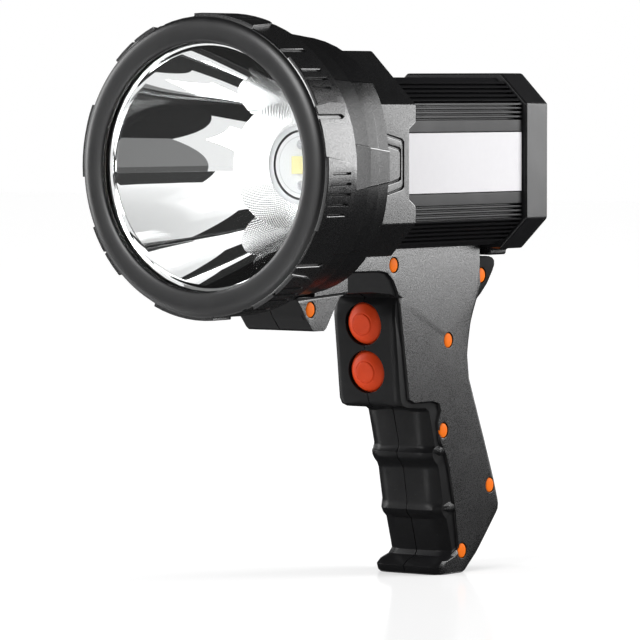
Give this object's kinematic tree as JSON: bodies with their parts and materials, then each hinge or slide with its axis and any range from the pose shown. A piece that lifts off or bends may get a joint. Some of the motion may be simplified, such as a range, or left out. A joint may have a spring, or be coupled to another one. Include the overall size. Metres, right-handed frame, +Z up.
{
  "type": "handheld searchlight",
  "caption": "Pistol-grip searchlight: round bezel with a deep reflector lamp, finned square body with side lamps, two thumb buttons and a capped charging port.",
  "frame": {"origin": "centre of the flat underside of the grip's base, on the surface it stands on", "axes": "+Z up, beam towards -Y, +X to the lamp's left side as it is held"},
  "size_m": [0.1258, 0.2032, 0.2414],
  "materials": {
    "bare_aluminium": "bare machined aluminium",
    "black_aluminium": "black anodised aluminium",
    "button_rubber": "orange-red rubber",
    "cell_wrap": "blue-wrapped metal can",
    "clear_lens": "clear window",
    "diffuser": "milky white diffusing plastic",
    "green_board": "green circuit board",
    "housing_plastic": "fine-textured black plastic",
    "mirror_coat": "bright metallised reflector",
    "orange_plug": "orange soft plastic",
    "rubber": "matt black rubber",
    "steel": "plated steel",
    "white_board": "white-faced circuit board",
    "yellow_chip": "yellow phosphor"
  },
  "bodies": {
    "lamp": {"battery_cell_a": "cell_wrap", "battery_cell_b": "cell_wrap", "battery_cell_c": "cell_wrap", "battery_cell_d": "cell_wrap", "bezel_ring": "housing_plastic", "button_board": "green_board", "cell_holder": "housing_plastic", "charge_socket": "housing_plastic", "collar": "housing_plastic", "driver_board": "green_board", "end_cap": "black_aluminium", "end_cap_screw_1": "steel", "end_cap_screw_2": "steel", "end_cap_screw_3": "steel", "end_cap_screw_4": "steel", "front_bumper": "rubber", "grip_shell_left": "housing_plastic", "grip_shell_right": "housing_plastic", "head_housing": "housing_plastic", "heat_spreader": "bare_aluminium", "heatsink_body": "black_aluminium", "led_board": "white_board", "led_emitter": "yellow_chip", "led_screw_lower": "steel", "led_screw_upper": "steel", "lens": "clear_lens", "lens_gasket": "rubber", "reflector": "mirror_coat", "screw_plug_1": "orange_plug", "screw_plug_2": "orange_plug", "screw_plug_3": "orange_plug", "screw_plug_4": "orange_plug", "screw_plug_5": "orange_plug", "screw_plug_6": "orange_plug", "screw_plug_7": "orange_plug", "shell_screw_1": "steel", "shell_screw_2": "steel", "shell_screw_3": "steel", "shell_screw_4": "steel", "shell_screw_5": "steel", "shell_screw_6": "steel", "shell_screw_7": "steel", "side_board_left": "white_board", "side_board_right": "white_board", "side_diffuser_left": "diffuser", "side_diffuser_right": "diffuser", "switch_lower": "steel", "switch_upper": "steel"},
    "upper_button": {"button_upper": "button_rubber"},
    "lower_button": {"button_lower": "button_rubber"},
    "port_flap": {"port_cover": "rubber"}
  },
  "joints": [
    {"name": "upper_button_press", "type": "slide", "parent": "lamp", "child": "upper_button", "axis": [0, 0.993, 0.118], "range_m": [0, 0.0015], "stiffness_N_per_m": 1200},
    {"name": "lower_button_press", "type": "slide", "parent": "lamp", "child": "lower_button", "axis": [0, 0.993, 0.118], "range_m": [0, 0.0015], "stiffness_N_per_m": 1200},
    {"name": "port_cover_hinge", "type": "hinge", "parent": "lamp", "child": "port_flap", "pos_m": [0, 0.0396, 0.1849], "axis": [1, 0, 0], "range_deg": [0, 90]}
  ]
}
